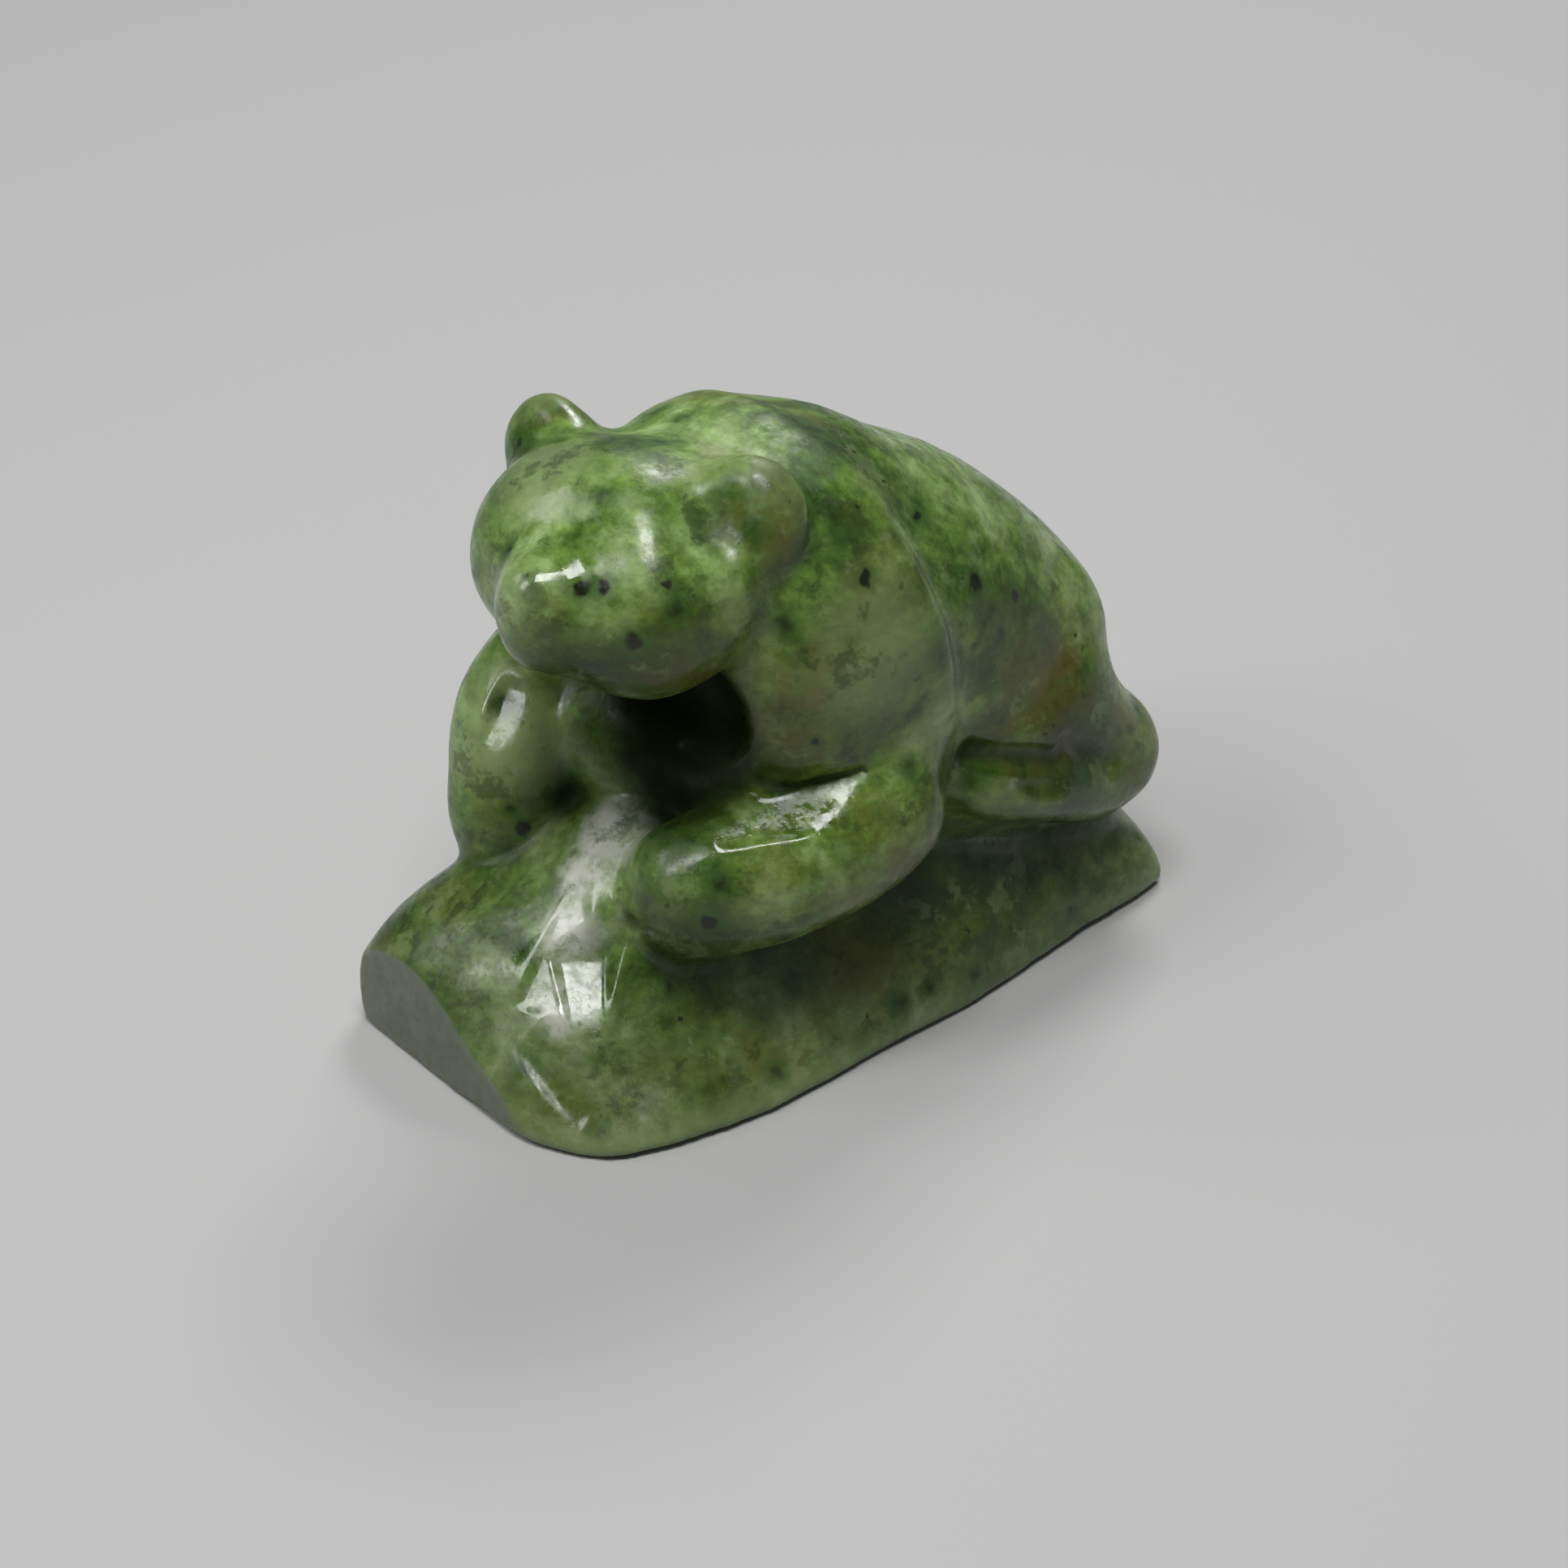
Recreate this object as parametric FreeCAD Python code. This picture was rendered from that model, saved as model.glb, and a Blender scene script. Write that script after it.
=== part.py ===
import FreeCAD, Part

# A crouching bear and the rock it lies on, carved from one piece of green jade. Millimetres.
#
# The bear lies along the rock with its forepaws folded round the rock's crest and its head raised.
# It faces -Y, its left side is +X, +Z is up, and the origin is the middle of the rock's flat
# underside. The stone is one piece, so each node is one carved form of it: neighbours meet on a
# shared face, with no gap and no overlap, and nothing moves.

import math
import os

Vector = FreeCAD.Vector

X_AXIS = Vector(1, 0, 0)
Y_AXIS = Vector(0, 1, 0)
Z_AXIS = Vector(0, 0, 1)

# ---- rock: a low ridge with a flat underside and a sawn flat across its front right corner --------
ROCK_LENGTH = 56.8
ROCK_WIDTH = 31.2
CREST_HEIGHT = 17.0
SAWN_FLAT_TURN = -4.4
SAWN_FLAT_INSET = 1.2
SAWN_CORNER_SHARE = 0.42
UNDERSIDE_TRIM = 3.0

# ---- forequarters, which stand proud of the back along the shoulder line --------------------------
HUMP_HEIGHT = 43.4
SHOULDER_WIDTH = 29.8
SHOULDER_TALL = 31.2
CHEST_BULGE = 0.40
SHOULDER_LINE_Y = 4.6
SHOULDER_LINE_HEIGHT = 22.0
SHOULDER_LINE_RADIUS = 52.0

# ---- back and rump --------------------------------------------------------------------------------
BACK_WIDTH = 27.0
BACK_STEP = 1.0
RUMP_RADIUS = 14.4
RUMP_ABOVE_CREST = 1.2
RUMP_REAR_Y = 28.4

# ---- head, in its own frame before it is lifted, tilted and turned --------------------------------
HEAD_TURN = 9.0
HEAD_LIFT = 14.0
HEAD_TILT = -3.0
HEAD_WIDTH = 21.8
HEAD_LENGTH = 17.0
HEAD_TALL = 16.6
HEAD_FORWARD = 11.6
HEAD_BELOW_HUMP = 7.5
MUZZLE_RADIUS = 6.4
NOSE_OUT = 1.5
NOSE_RADIUS = 2.6
EAR_INSET = 2.0
EAR_ABOVE = 4.9
EAR_RADIUS = 4.1
EAR_THICKNESS = 4.2
HEAD_RIGHT_OF_MIDDLE = 0.6

# ---- limbs ----------------------------------------------------------------------------------------
FOREARM_RADIUS = 5.4
FOREARM_INSET = 3.1
ELBOW_AHEAD_OF_LINE = 0.4
PAW_RADIUS = 4.9
HAUNCH_WIDTH = 13.6
HEEL_RADIUS = 5.0
FOOT_RADIUS = 2.3

# ---- how forms are made ---------------------------------------------------------------------------
CAP_ANGLES = (25.0, 48.0, 68.0, 84.0)
BEYOND = 80.0


def ring(centre, along, side, half_width, half_height):
    """An ellipse round a point, square to `along`, with its width towards `side`."""
    across = (side - along * side.dot(along)).normalize()
    upward = across.cross(along)
    place = FreeCAD.Matrix(
        across.x * half_width, upward.x * half_height, along.x, centre.x,
        across.y * half_width, upward.y * half_height, along.y, centre.y,
        across.z * half_width, upward.z * half_height, along.z, centre.z,
        0, 0, 0, 1,
    )
    circle = Part.Circle(Vector(0, 0, 0), Z_AXIS, 1).toBSpline()
    return Part.Wire([circle.toShape()]).transformGeometry(place)


def pod(stations, side=X_AXIS, start_cap=1.0, end_cap=1.0):
    """A round-ended form through stations of (centre, half_width, half_height)."""
    centres = [station[0] for station in stations]
    last = len(stations) - 1
    alongs = [(centres[min(i + 1, last)] - centres[max(i - 1, 0)]).normalize() for i in range(last + 1)]
    rings = [ring(c, a, side, s[1], s[2]) for c, a, s in zip(centres, alongs, stations)]

    def cap(index, direction, bulge):
        half_width, half_height = stations[index][1:]
        reach = bulge * (half_width + half_height) / 2
        found = []
        for degrees in CAP_ANGLES:
            out = math.sin(math.radians(degrees))
            keep = math.cos(math.radians(degrees))
            centre = centres[index] + alongs[index] * (direction * reach * out)
            found.append(ring(centre, alongs[index], side, half_width * keep, half_height * keep))
        return found

    rings = cap(0, -1, start_cap)[::-1] + rings + cap(last, 1, end_cap)
    return Part.makeLoft(rings, True, False)


def ellipsoid(centre, radii, turns=()):
    """An egg-like form of three radii, turned about its centre by (axis, degrees) pairs in order."""
    width, length, height = radii
    rings = []
    for degrees in [-a for a in reversed(CAP_ANGLES)] + [0.0] + list(CAP_ANGLES):
        along = Vector(0, length * math.sin(math.radians(degrees)), 0)
        keep = math.cos(math.radians(degrees))
        rings.append(ring(along, Y_AXIS, X_AXIS, width * keep, height * keep))
    body = Part.makeLoft(rings, True, False)
    for axis, degrees in turns:
        body.rotate(Vector(0, 0, 0), axis, degrees)
    body.translate(centre)
    return body


def in_head(shape):
    """Carries a form from the head's own frame, where it faces -Y, to its place on the bear."""
    shape.rotate(Vector(0, 0, 0), X_AXIS, -HEAD_LIFT)
    shape.rotate(Vector(0, 0, 0), Y_AXIS, HEAD_TILT)
    shape.rotate(Vector(0, 0, 0), Z_AXIS, HEAD_TURN)
    shape.translate(Vector(-HEAD_RIGHT_OF_MIDDLE, -HEAD_FORWARD, HUMP_HEIGHT - HEAD_BELOW_HUMP))
    return shape


# The rock's sections from front to rear. Each is how far along the length from the middle, then
# points across the top from the right foot to the left foot, as (share of half width, share of crest
# height). The crest runs down to the front left corner, so its highest point moves left there.
ROCK_SECTIONS = (
    (-0.52, (-0.79, 0.08), (-0.74, 0.22), (-0.40, 0.26), (0.00, 0.18),
     (0.26, 0.02), (0.44, -0.08), (0.64, -0.14)),
    (-0.45, (-0.86, 0.12), (-0.79, 0.38), (-0.45, 0.48), (0.00, 0.44),
     (0.40, 0.30), (0.62, 0.14), (0.86, 0.00)),
    (-0.37, (-0.93, 0.12), (-0.82, 0.46), (-0.45, 0.64), (0.06, 0.72),
     (0.40, 0.56), (0.66, 0.28), (0.96, 0.02)),
    (-0.27, (-0.97, 0.12), (-0.82, 0.50), (-0.45, 0.78), (0.00, 1.00),
     (0.36, 0.80), (0.66, 0.38), (1.00, 0.04)),
    (-0.10, (-1.00, 0.12), (-0.82, 0.50), (-0.45, 0.76), (0.00, 0.98),
     (0.38, 0.80), (0.68, 0.44), (1.00, 0.05)),
    (0.12, (-1.00, 0.12), (-0.84, 0.52), (-0.50, 0.76), (0.00, 0.86),
     (0.45, 0.78), (0.76, 0.52), (0.99, 0.06)),
    (0.30, (-0.94, 0.12), (-0.82, 0.46), (-0.50, 0.64), (0.00, 0.68),
     (0.45, 0.64), (0.74, 0.44), (0.93, 0.08)),
    (0.44, (-0.88, 0.10), (-0.76, 0.32), (-0.45, 0.44), (0.00, 0.46),
     (0.42, 0.44), (0.70, 0.34), (0.88, 0.10)),
    (0.51, (-0.82, 0.06), (-0.66, 0.14), (-0.40, 0.18), (0.00, 0.19),
     (0.36, 0.18), (0.62, 0.15), (0.84, 0.06)),
)


def rock_section(along, *outline):
    """One closed section of the rock, square to its length, reaching below its underside."""
    y = along * ROCK_LENGTH
    half = ROCK_WIDTH / 2
    points = [Vector(across * half, y, up * CREST_HEIGHT) for across, up in outline]
    points.insert(0, Vector(points[0].x, y, -UNDERSIDE_TRIM))
    points.append(Vector(points[-1].x, y, -UNDERSIDE_TRIM))
    curve = Part.BSplineCurve()
    curve.interpolate(Points=points, Parameters=[i / (len(points) - 1) for i in range(len(points))])
    return Part.Wire([curve.toShape(), Part.makeLine(points[-1], points[0])])


def rock():
    """The rock with its flat underside, flat rear end and sawn front."""
    body = Part.makeLoft([rock_section(*section) for section in ROCK_SECTIONS], True, False)
    above = Part.makeBox(BEYOND, ROCK_LENGTH, BEYOND, Vector(-BEYOND / 2, -ROCK_LENGTH / 2, 0))
    sawn = Part.makeBox(BEYOND, BEYOND, BEYOND, Vector(-BEYOND / 2, -BEYOND, -BEYOND / 2))
    sawn.rotate(Vector(0, 0, 0), Z_AXIS, SAWN_FLAT_TURN)
    sawn.translate(Vector(-ROCK_WIDTH * SAWN_CORNER_SHARE, SAWN_FLAT_INSET - ROCK_LENGTH / 2, 0))
    return body.common(above).cut(sawn)


def ahead_of_shoulder_line():
    """Everything ahead of the curved shoulder line, which runs over the body from side to side."""
    axis_y = SHOULDER_LINE_Y - SHOULDER_LINE_RADIUS
    centre = Vector(-BEYOND / 2, axis_y, SHOULDER_LINE_HEIGHT)
    return Part.makeCylinder(SHOULDER_LINE_RADIUS, BEYOND, centre, X_AXIS)


def shoulders():
    """The hump, chest and upper arms, ended behind by the shoulder line."""
    half = SHOULDER_WIDTH / 2
    tall = SHOULDER_TALL / 2
    body = pod([
        (Vector(0, -6.0, HUMP_HEIGHT - tall + 0.2), half - 0.9, tall - 0.6),
        (Vector(0, 0.0, HUMP_HEIGHT - tall), half, tall),
        (Vector(0, 8.0, HUMP_HEIGHT - tall - 1.6), half - 0.4, tall - 1.0),
    ], start_cap=CHEST_BULGE, end_cap=0.5)
    return body.common(ahead_of_shoulder_line())


def back():
    """The barrel of the body, from the shoulder line down to the rump."""
    half = BACK_WIDTH / 2
    rump_y = RUMP_REAR_Y - RUMP_RADIUS
    spine = HUMP_HEIGHT - BACK_STEP - RUMP_RADIUS
    rump_z = CREST_HEIGHT + RUMP_ABOVE_CREST
    body = pod([
        (Vector(0, -1, spine), half, RUMP_RADIUS - 0.3),
        (Vector(0, rump_y / 2, (spine + rump_z) / 2 + 0.8), half, RUMP_RADIUS),
        (Vector(0, rump_y, rump_z), half * 0.97, RUMP_RADIUS),
    ], start_cap=0.7, end_cap=1.0)
    return body.cut(ahead_of_shoulder_line())


def head():
    return in_head(ellipsoid(Vector(0, 0, 0), (HEAD_WIDTH / 2, HEAD_LENGTH / 2, HEAD_TALL / 2)))


def muzzle():
    """The muzzle and lower jaw, narrowing to the round nose."""
    nose = -HEAD_LENGTH / 2 - NOSE_OUT
    return in_head(pod([
        (Vector(0, nose + 8.0, -1.4), MUZZLE_RADIUS + 1.4, MUZZLE_RADIUS),
        (Vector(0, nose + 4.0, -1.9), MUZZLE_RADIUS - 0.4, MUZZLE_RADIUS - 1.2),
        (Vector(0, nose, -0.7), NOSE_RADIUS, NOSE_RADIUS),
    ], end_cap=0.9))


def ear(side):
    """A round ear like a thick paddle, leaning outwards. side is 1 for left and -1 for right."""
    centre = Vector(side * (HEAD_WIDTH / 2 - EAR_INSET) - 1.0, 2.0, EAR_ABOVE)
    radii = (EAR_RADIUS, EAR_THICKNESS / 2, EAR_RADIUS)
    return in_head(ellipsoid(centre, radii, [(Y_AXIS, side * 20), (Z_AXIS, side * 12)]))


def forearm_left():
    """From the elbow beside the rock forward to the paw on the crest."""
    radius = FOREARM_RADIUS
    elbow_x = SHOULDER_WIDTH / 2 - FOREARM_INSET
    elbow_y = SHOULDER_LINE_Y - ELBOW_AHEAD_OF_LINE - radius
    return pod([
        (Vector(elbow_x, elbow_y, CREST_HEIGHT + 1.0), radius, radius),
        (Vector(elbow_x, -4.6, CREST_HEIGHT + 0.2), radius, radius),
        (Vector(elbow_x - 1.2, -9.4, CREST_HEIGHT - 0.8), radius, radius),
        (Vector(elbow_x - 3.8, -13.4, CREST_HEIGHT - 2.2), PAW_RADIUS, PAW_RADIUS + 0.3),
    ])


def forearm_right():
    """From the upper arm down over the rock's right side to the paw."""
    radius = FOREARM_RADIUS
    elbow_x = FOREARM_INSET - SHOULDER_WIDTH / 2
    return pod([
        (Vector(elbow_x - 0.6, -6.5, CREST_HEIGHT + 5.0), radius, radius),
        (Vector(elbow_x + 0.4, -12.4, CREST_HEIGHT + 2.4), radius - 0.3, radius - 0.2),
        (Vector(elbow_x + 2.0, -15.0, CREST_HEIGHT - 2.8), PAW_RADIUS - 0.2, PAW_RADIUS - 0.2),
    ])


def haunch(side):
    """The thigh, lying along the flank and narrowing to the heel."""
    flank = BACK_WIDTH / 2
    return pod([
        (Vector(side * (flank - 6.3), RUMP_REAR_Y - 17.4, CREST_HEIGHT), HAUNCH_WIDTH / 2, 8.2),
        (Vector(side * (flank - 5.7), RUMP_REAR_Y - 10.4, CREST_HEIGHT - 1.4), HAUNCH_WIDTH / 2, 8.4),
        (Vector(side * (flank - 4.1), RUMP_REAR_Y - 4.8, CREST_HEIGHT - 5.2), HEEL_RADIUS, HEEL_RADIUS),
    ])


def hind_foot(side):
    """The foot, lying on the rock under the haunch and pointing forward."""
    flank = BACK_WIDTH / 2
    toes = Vector(side * (flank - 0.5), RUMP_REAR_Y - 19.9, CREST_HEIGHT - 0.8)
    sole = Vector(side * (flank - 0.3), RUMP_REAR_Y - 13.4, CREST_HEIGHT - 3.6)
    heel = Vector(side * (flank - 1.9), RUMP_REAR_Y - 5.9, CREST_HEIGHT - 6.8)
    return pod([
        (toes, FOOT_RADIUS, FOOT_RADIUS),
        (sole, FOOT_RADIUS + 0.2, FOOT_RADIUS),
        (heel, FOOT_RADIUS + 0.4, FOOT_RADIUS),
    ])


def meet(forms):
    """Trims each form by all those before it, so that neighbours share a face and nothing overlaps."""
    done = {}
    for name, shape in forms.items():
        for other in done.values():
            if shape.BoundBox.intersect(other.BoundBox):
                shape = shape.cut(other)
        done[name] = max(shape.Solids, key=lambda solid: solid.Volume)
    return done


def main():
    os.makedirs("parts", exist_ok=True)
    forms = {"head": head(), "shoulders": shoulders(), "back": back(), "muzzle": muzzle()}
    for side, word in ((1, "left"), (-1, "right")):
        forms[f"ear_{word}"] = ear(side)
        forms[f"haunch_{word}"] = haunch(side)
        forms[f"hind_foot_{word}"] = hind_foot(side)
    forms["forearm_left"] = forearm_left()
    forms["forearm_right"] = forearm_right()
    forms["rock_base"] = rock()
    for name, shape in meet(forms).items():
        shape.exportStep(f"parts/{name}.step")
        print(f"{name}: valid {shape.isValid()}, {len(shape.Solids)} solid, {shape.Volume:.0f} mm3")


main()
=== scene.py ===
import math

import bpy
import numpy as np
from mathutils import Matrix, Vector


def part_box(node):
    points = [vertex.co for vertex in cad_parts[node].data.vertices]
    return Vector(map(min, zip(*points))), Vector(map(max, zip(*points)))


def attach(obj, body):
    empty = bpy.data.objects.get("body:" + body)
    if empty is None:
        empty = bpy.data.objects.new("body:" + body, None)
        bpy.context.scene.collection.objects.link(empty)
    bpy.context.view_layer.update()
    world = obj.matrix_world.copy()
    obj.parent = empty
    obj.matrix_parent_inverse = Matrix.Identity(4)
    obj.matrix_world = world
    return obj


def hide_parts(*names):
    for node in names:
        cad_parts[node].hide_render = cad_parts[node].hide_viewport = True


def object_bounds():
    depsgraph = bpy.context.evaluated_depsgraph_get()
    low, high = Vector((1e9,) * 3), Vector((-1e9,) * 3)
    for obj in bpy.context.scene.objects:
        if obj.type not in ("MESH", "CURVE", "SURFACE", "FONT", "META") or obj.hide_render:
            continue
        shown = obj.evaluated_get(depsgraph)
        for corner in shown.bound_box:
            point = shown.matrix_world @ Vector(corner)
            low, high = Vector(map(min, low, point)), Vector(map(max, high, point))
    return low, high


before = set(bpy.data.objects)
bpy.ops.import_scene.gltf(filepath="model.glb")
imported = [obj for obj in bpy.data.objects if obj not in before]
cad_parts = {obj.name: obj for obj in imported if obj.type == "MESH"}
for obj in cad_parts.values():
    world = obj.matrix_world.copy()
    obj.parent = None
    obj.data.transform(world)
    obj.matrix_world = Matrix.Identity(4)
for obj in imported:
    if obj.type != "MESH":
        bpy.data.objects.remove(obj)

# A crouching bear on a rock, carved from one piece of green jade and polished by hand.
#
# The CAD forms are fused into one stone on a fine grid of distances, the way a carver roughs a
# block out and then eases every join. The small carved shapes, the sawn flat and the polish are
# worked into that grid, and the finished skin is parted again into one piece for each CAD form.
# The grid is in millimetres. Everything placed in the scene is in metres.
#
# A swelling or hollow is an egg-like form: its middle, its three radii and the width of the fillet
# where it joins the stone, all in mm.

import openvdb as vdb
from mathutils import Matrix, Vector

CAD_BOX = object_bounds()

MM = 0.001
TO_MM = 1000.0

# ---- the carving grid -----------------------------------------------------------------------------
STEP = 0.27
MARGIN = 3.0
BAND = 4.2
HALF_WIDTH = math.ceil(BAND / STEP)

# ---- how far the joins are eased, mm --------------------------------------------------------------
SEAM_CLOSING = 0.15
TIGHT_JOIN = 0.5
SOFT_JOIN = 1.5
WIDE_JOIN = 3.6
POLISH = 0.42

# ---- the head's own frame, degrees ----------------------------------------------------------------
HEAD_TURN = 9.0
HEAD_LIFT = 14.0
HEAD_TILT = -3.0

LEFT_EAR_TURN = 36.0
RIGHT_EAR_TURN = -12.0

# ---- the flats, the grooves and the polish --------------------------------------------------------
SAWN_TURN = -4.4
SAWN_INSET = 1.5
SAWN_CORNER_SHARE = 0.84
SAWN_BAND = 0.12
SHOULDER_EASE = 1.3
GROOVE_RADIUS = 0.5
LEAF_SLOPE = -27.0
CRISP_EDGE = 0.3
FACET_WALL = 0.9
POLISH_LUMPS = ((2.4, 0.10), (0.9, 0.028))

# Flats down the ridge: a place as (x mm, y mm, share of the crest's height), the way it faces, the
# way it runs, its half length, half width and flare, and how deep it is ground in mm.
RIDGE_FLATS = (
    ((3.1, -21.0, 0.64), (0.26, -0.70, 0.67), (0.35, -0.57, -0.74), (4.8, 1.5, 0.8), 0.30),
    ((6.4, -22.2, 0.46), (0.45, -0.43, 0.78), (0.54, -0.36, -0.76), (3.8, 1.3, -0.3), 0.40),
    ((7.3, -24.8, 0.28), (0.40, -0.72, 0.56), (0.80, 0.20, -0.50), (3.2, 1.9, 0.2), 0.30),
)

# ---- the jade's colours ---------------------------------------------------------------------------
JADE_INDEX = 1.61
# The clouds' colours, each at its place along the noise, from nearly black to pale.
GREENS = (
    (0.31, (0.012, 0.034, 0.004)),
    (0.42, (0.038, 0.094, 0.010)),
    (0.52, (0.108, 0.196, 0.034)),
    (0.62, (0.195, 0.300, 0.095)),
    (0.74, (0.330, 0.420, 0.230)),
)
OLIVE = (0.100, 0.088, 0.012, 1)
# Painted reflection: the grey that the sawn flat shows.
SAWN_REFLECTION_GREY = (0.135, 0.150, 0.115, 1)
SHADE = (0.022, 0.038, 0.007, 1)
GLOOM = (0.012, 0.030, 0.004, 1)
STREAK = (0.025, 0.040, 0.010, 1)
HALO = (0.030, 0.085, 0.010, 1)
# The specks' colour, also used for the painted shade in the hollow under the chin.
SPECK_AND_THROAT_SHADE = (0.008, 0.013, 0.003, 1)
# The colour of the painted shade in the creases.
CREASE_SHADE = (0.010, 0.024, 0.006, 1)
PALE = (0.300, 0.380, 0.180, 1)
# The colour of the painted cream highlight down the ridge.
HIGHLIGHT_CREAM = (0.480, 0.490, 0.410, 1)

# ---- marks in the stone, and painted light and shade ----------------------------------------------
# Each place is a form and shares of its box from its right, its front and its foot.
# Dark specks: place, radius in mm.
SPECKS = (
    ("muzzle", (0.79, 0.58, 0.81), 0.70),
    ("muzzle", (0.88, 0.70, 0.83), 0.52),
    ("head", (0.88, 0.25, 0.67), 0.45),
    ("head", (0.84, 0.17, 0.47), 0.70),
    ("forearm_right", (0.94, 0.13, 0.30), 0.60),
    ("forearm_left", (0.64, 0.10, 0.42), 0.70),
    ("shoulders", (0.98, 0.30, 0.45), 0.40),
    ("shoulders", (0.93, 0.62, 0.78), 0.50),
    ("back", (0.95, 0.30, 0.75), 0.85),
    ("back", (0.95, 0.45, 0.68), 0.60),
    ("back", (0.90, 0.20, 0.92), 0.60),
)
# Olive stains, pale patches with painted highlights, and dark green patches of painted shade: place,
# radius in mm, strength.
STAINS = (
    ("shoulders", (0.93, 0.33, 0.51), 9.0, 0.85),
    ("haunch_left", (0.90, 0.41, 0.85), 9.5, 1.00),
    ("haunch_left", (0.90, 0.85, 0.60), 7.0, 0.80),
    ("forearm_left", (0.91, 0.66, 0.40), 8.0, 0.95),
    ("head", (0.85, 0.36, 0.24), 8.0, 0.85),
    ("ear_right", (0.62, 0.63, 1.00), 4.0, 0.80),
    ("ear_left", (0.90, 0.27, 0.50), 4.5, 0.70),
)
# Pale patches: paler stone on the shoulders, painted highlights on the brow and on the right forearm.
PALES_AND_HIGHLIGHTS = (
    ("shoulders", (0.98, 0.60, 0.62), 7.5, 0.40),
    ("shoulders", (1.00, 0.95, 0.40), 5.0, 0.40),
    ("head", (0.30, 0.25, 0.95), 7.0, 0.45),
    ("forearm_right", (0.73, 0.17, 0.65), 6.5, 0.60),
)
# Painted shade: dark green patches under the muzzle and the head, low on the left forearm's front and
# on the left haunch's outer side.
PAINTED_SHADE_PATCHES = (
    ("muzzle", (0.70, 0.30, 0.30), 6.5, 0.60),
    ("head", (0.80, 0.10, 0.35), 5.0, 0.50),
    ("forearm_left", (0.55, 0.10, 0.30), 6.5, 0.70),
    ("haunch_left", (1.00, 0.50, 0.55), 8.0, 0.55),
)
# The middle of the painted shade, near black, in the hollow under the chin.
THROAT_SHADE = ("shoulders", (0.62, 0.19, 0.38))
# Where the polish is better or duller: place, radius in mm, change in roughness.
FINISH_SPOTS = (
    ("rock_base", (0.64, 0.13, 0.55), 6.5, -0.14),
    ("forearm_left", (0.65, 0.40, 0.80), 8.0, -0.14),
    ("forearm_right", (0.73, 0.17, 0.65), 5.0, -0.14),
    ("head", (0.55, 0.10, 0.75), 5.0, -0.14),
    ("shoulders", (0.50, 0.55, 1.00), 10.0, 0.24),
)
# Painted cream highlights down the ridge: place, radius where it is full and where it ends, in mm.
RIDGE_HIGHLIGHTS = (
    ("rock_base", (0.53, 0.22, 0.97), 1.2, 4.2),
    ("rock_base", (0.55, 0.18, 0.82), 0.8, 3.0),
    ("rock_base", (0.59, 0.13, 0.66), 0.8, 3.2),
    ("rock_base", (0.65, 0.09, 0.45), 0.6, 3.0),
)

SEED = 11


def middle(name):
    """The centre of a CAD node, in mm."""
    low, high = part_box(name)
    return np.array((low + high) / 2) * TO_MM


def corner(name, high=True):
    """The highest or lowest corner of a CAD node, in mm."""
    return np.array(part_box(name)[1 if high else 0]) * TO_MM


def spot(name, shares):
    """A place in mm, by shares of a CAD node's box from its right, its front and its foot."""
    low = corner(name, high=False)
    return low + (corner(name) - low) * shares


LOW = np.array(CAD_BOX[0]) * TO_MM - MARGIN
HIGH = np.array(CAD_BOX[1]) * TO_MM + MARGIN
FIRST = np.floor(LOW / STEP).astype(int)
SHAPE = np.ceil(HIGH / STEP).astype(int) - FIRST + 1
FIRST_CELL = tuple(int(i) for i in FIRST)
GRID_PLACE = vdb.createLinearTransform(voxelSize=STEP)


# ---- distances and surfaces -----------------------------------------------------------------------
def read_grid(grid):
    """A distance grid as an array over the whole block."""
    field = np.empty(tuple(SHAPE), np.float32)
    grid.copyToArray(field, ijk=FIRST_CELL)
    return field


def node_distance(name):
    """Distance from every grid point to one CAD form, negative inside it."""
    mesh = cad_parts[name].data
    points = np.empty(len(mesh.vertices) * 3, np.float32)
    mesh.vertices.foreach_get("co", points)
    mesh.calc_loop_triangles()
    faces = np.empty(len(mesh.loop_triangles) * 3, np.int32)
    mesh.loop_triangles.foreach_get("vertices", faces)
    grid = vdb.FloatGrid.createLevelSetFromPolygons(
        points.reshape(-1, 3) * TO_MM, triangles=faces.reshape(-1, 3),
        transform=GRID_PLACE, halfWidth=HALF_WIDTH)
    return read_grid(grid)


def skin(field, level=0.0):
    """The surface where the distance equals level, as points in mm and four-sided faces."""
    grid = vdb.FloatGrid(HALF_WIDTH * STEP)
    grid.transform = GRID_PLACE
    grid.copyFromArray(np.ascontiguousarray(field), ijk=FIRST_CELL)
    return grid.convertToQuads(isovalue=level)


def true_distance(field, level=0.0):
    """Distances measured afresh from the surface where field equals level."""
    points, faces = skin(field, level)
    grid = vdb.FloatGrid.createLevelSetFromPolygons(
        points, quads=faces, transform=GRID_PLACE, halfWidth=HALF_WIDTH)
    return read_grid(grid)


def eased(field, radius):
    """The form with every inner crease filled to a radius."""
    return true_distance(field, radius) + radius


def soften(field, spread):
    """The field blurred evenly over a distance in mm."""
    cells = spread / STEP
    reach = max(1, math.ceil(3 * cells))
    offsets = np.arange(-reach, reach + 1)
    weights = np.exp(-0.5 * (offsets / cells) ** 2)
    weights /= weights.sum()
    for axis in range(3):
        padding = [(0, 0)] * 3
        padding[axis] = (reach, reach)
        padded = np.pad(field, padding, mode="edge")
        total = np.zeros_like(field)
        for offset, weight in zip(offsets, weights):
            run = slice(reach + offset, reach + offset + field.shape[axis])
            total += np.float32(weight) * padded[(slice(None),) * axis + (run,)]
        field = total
    return field


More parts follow.
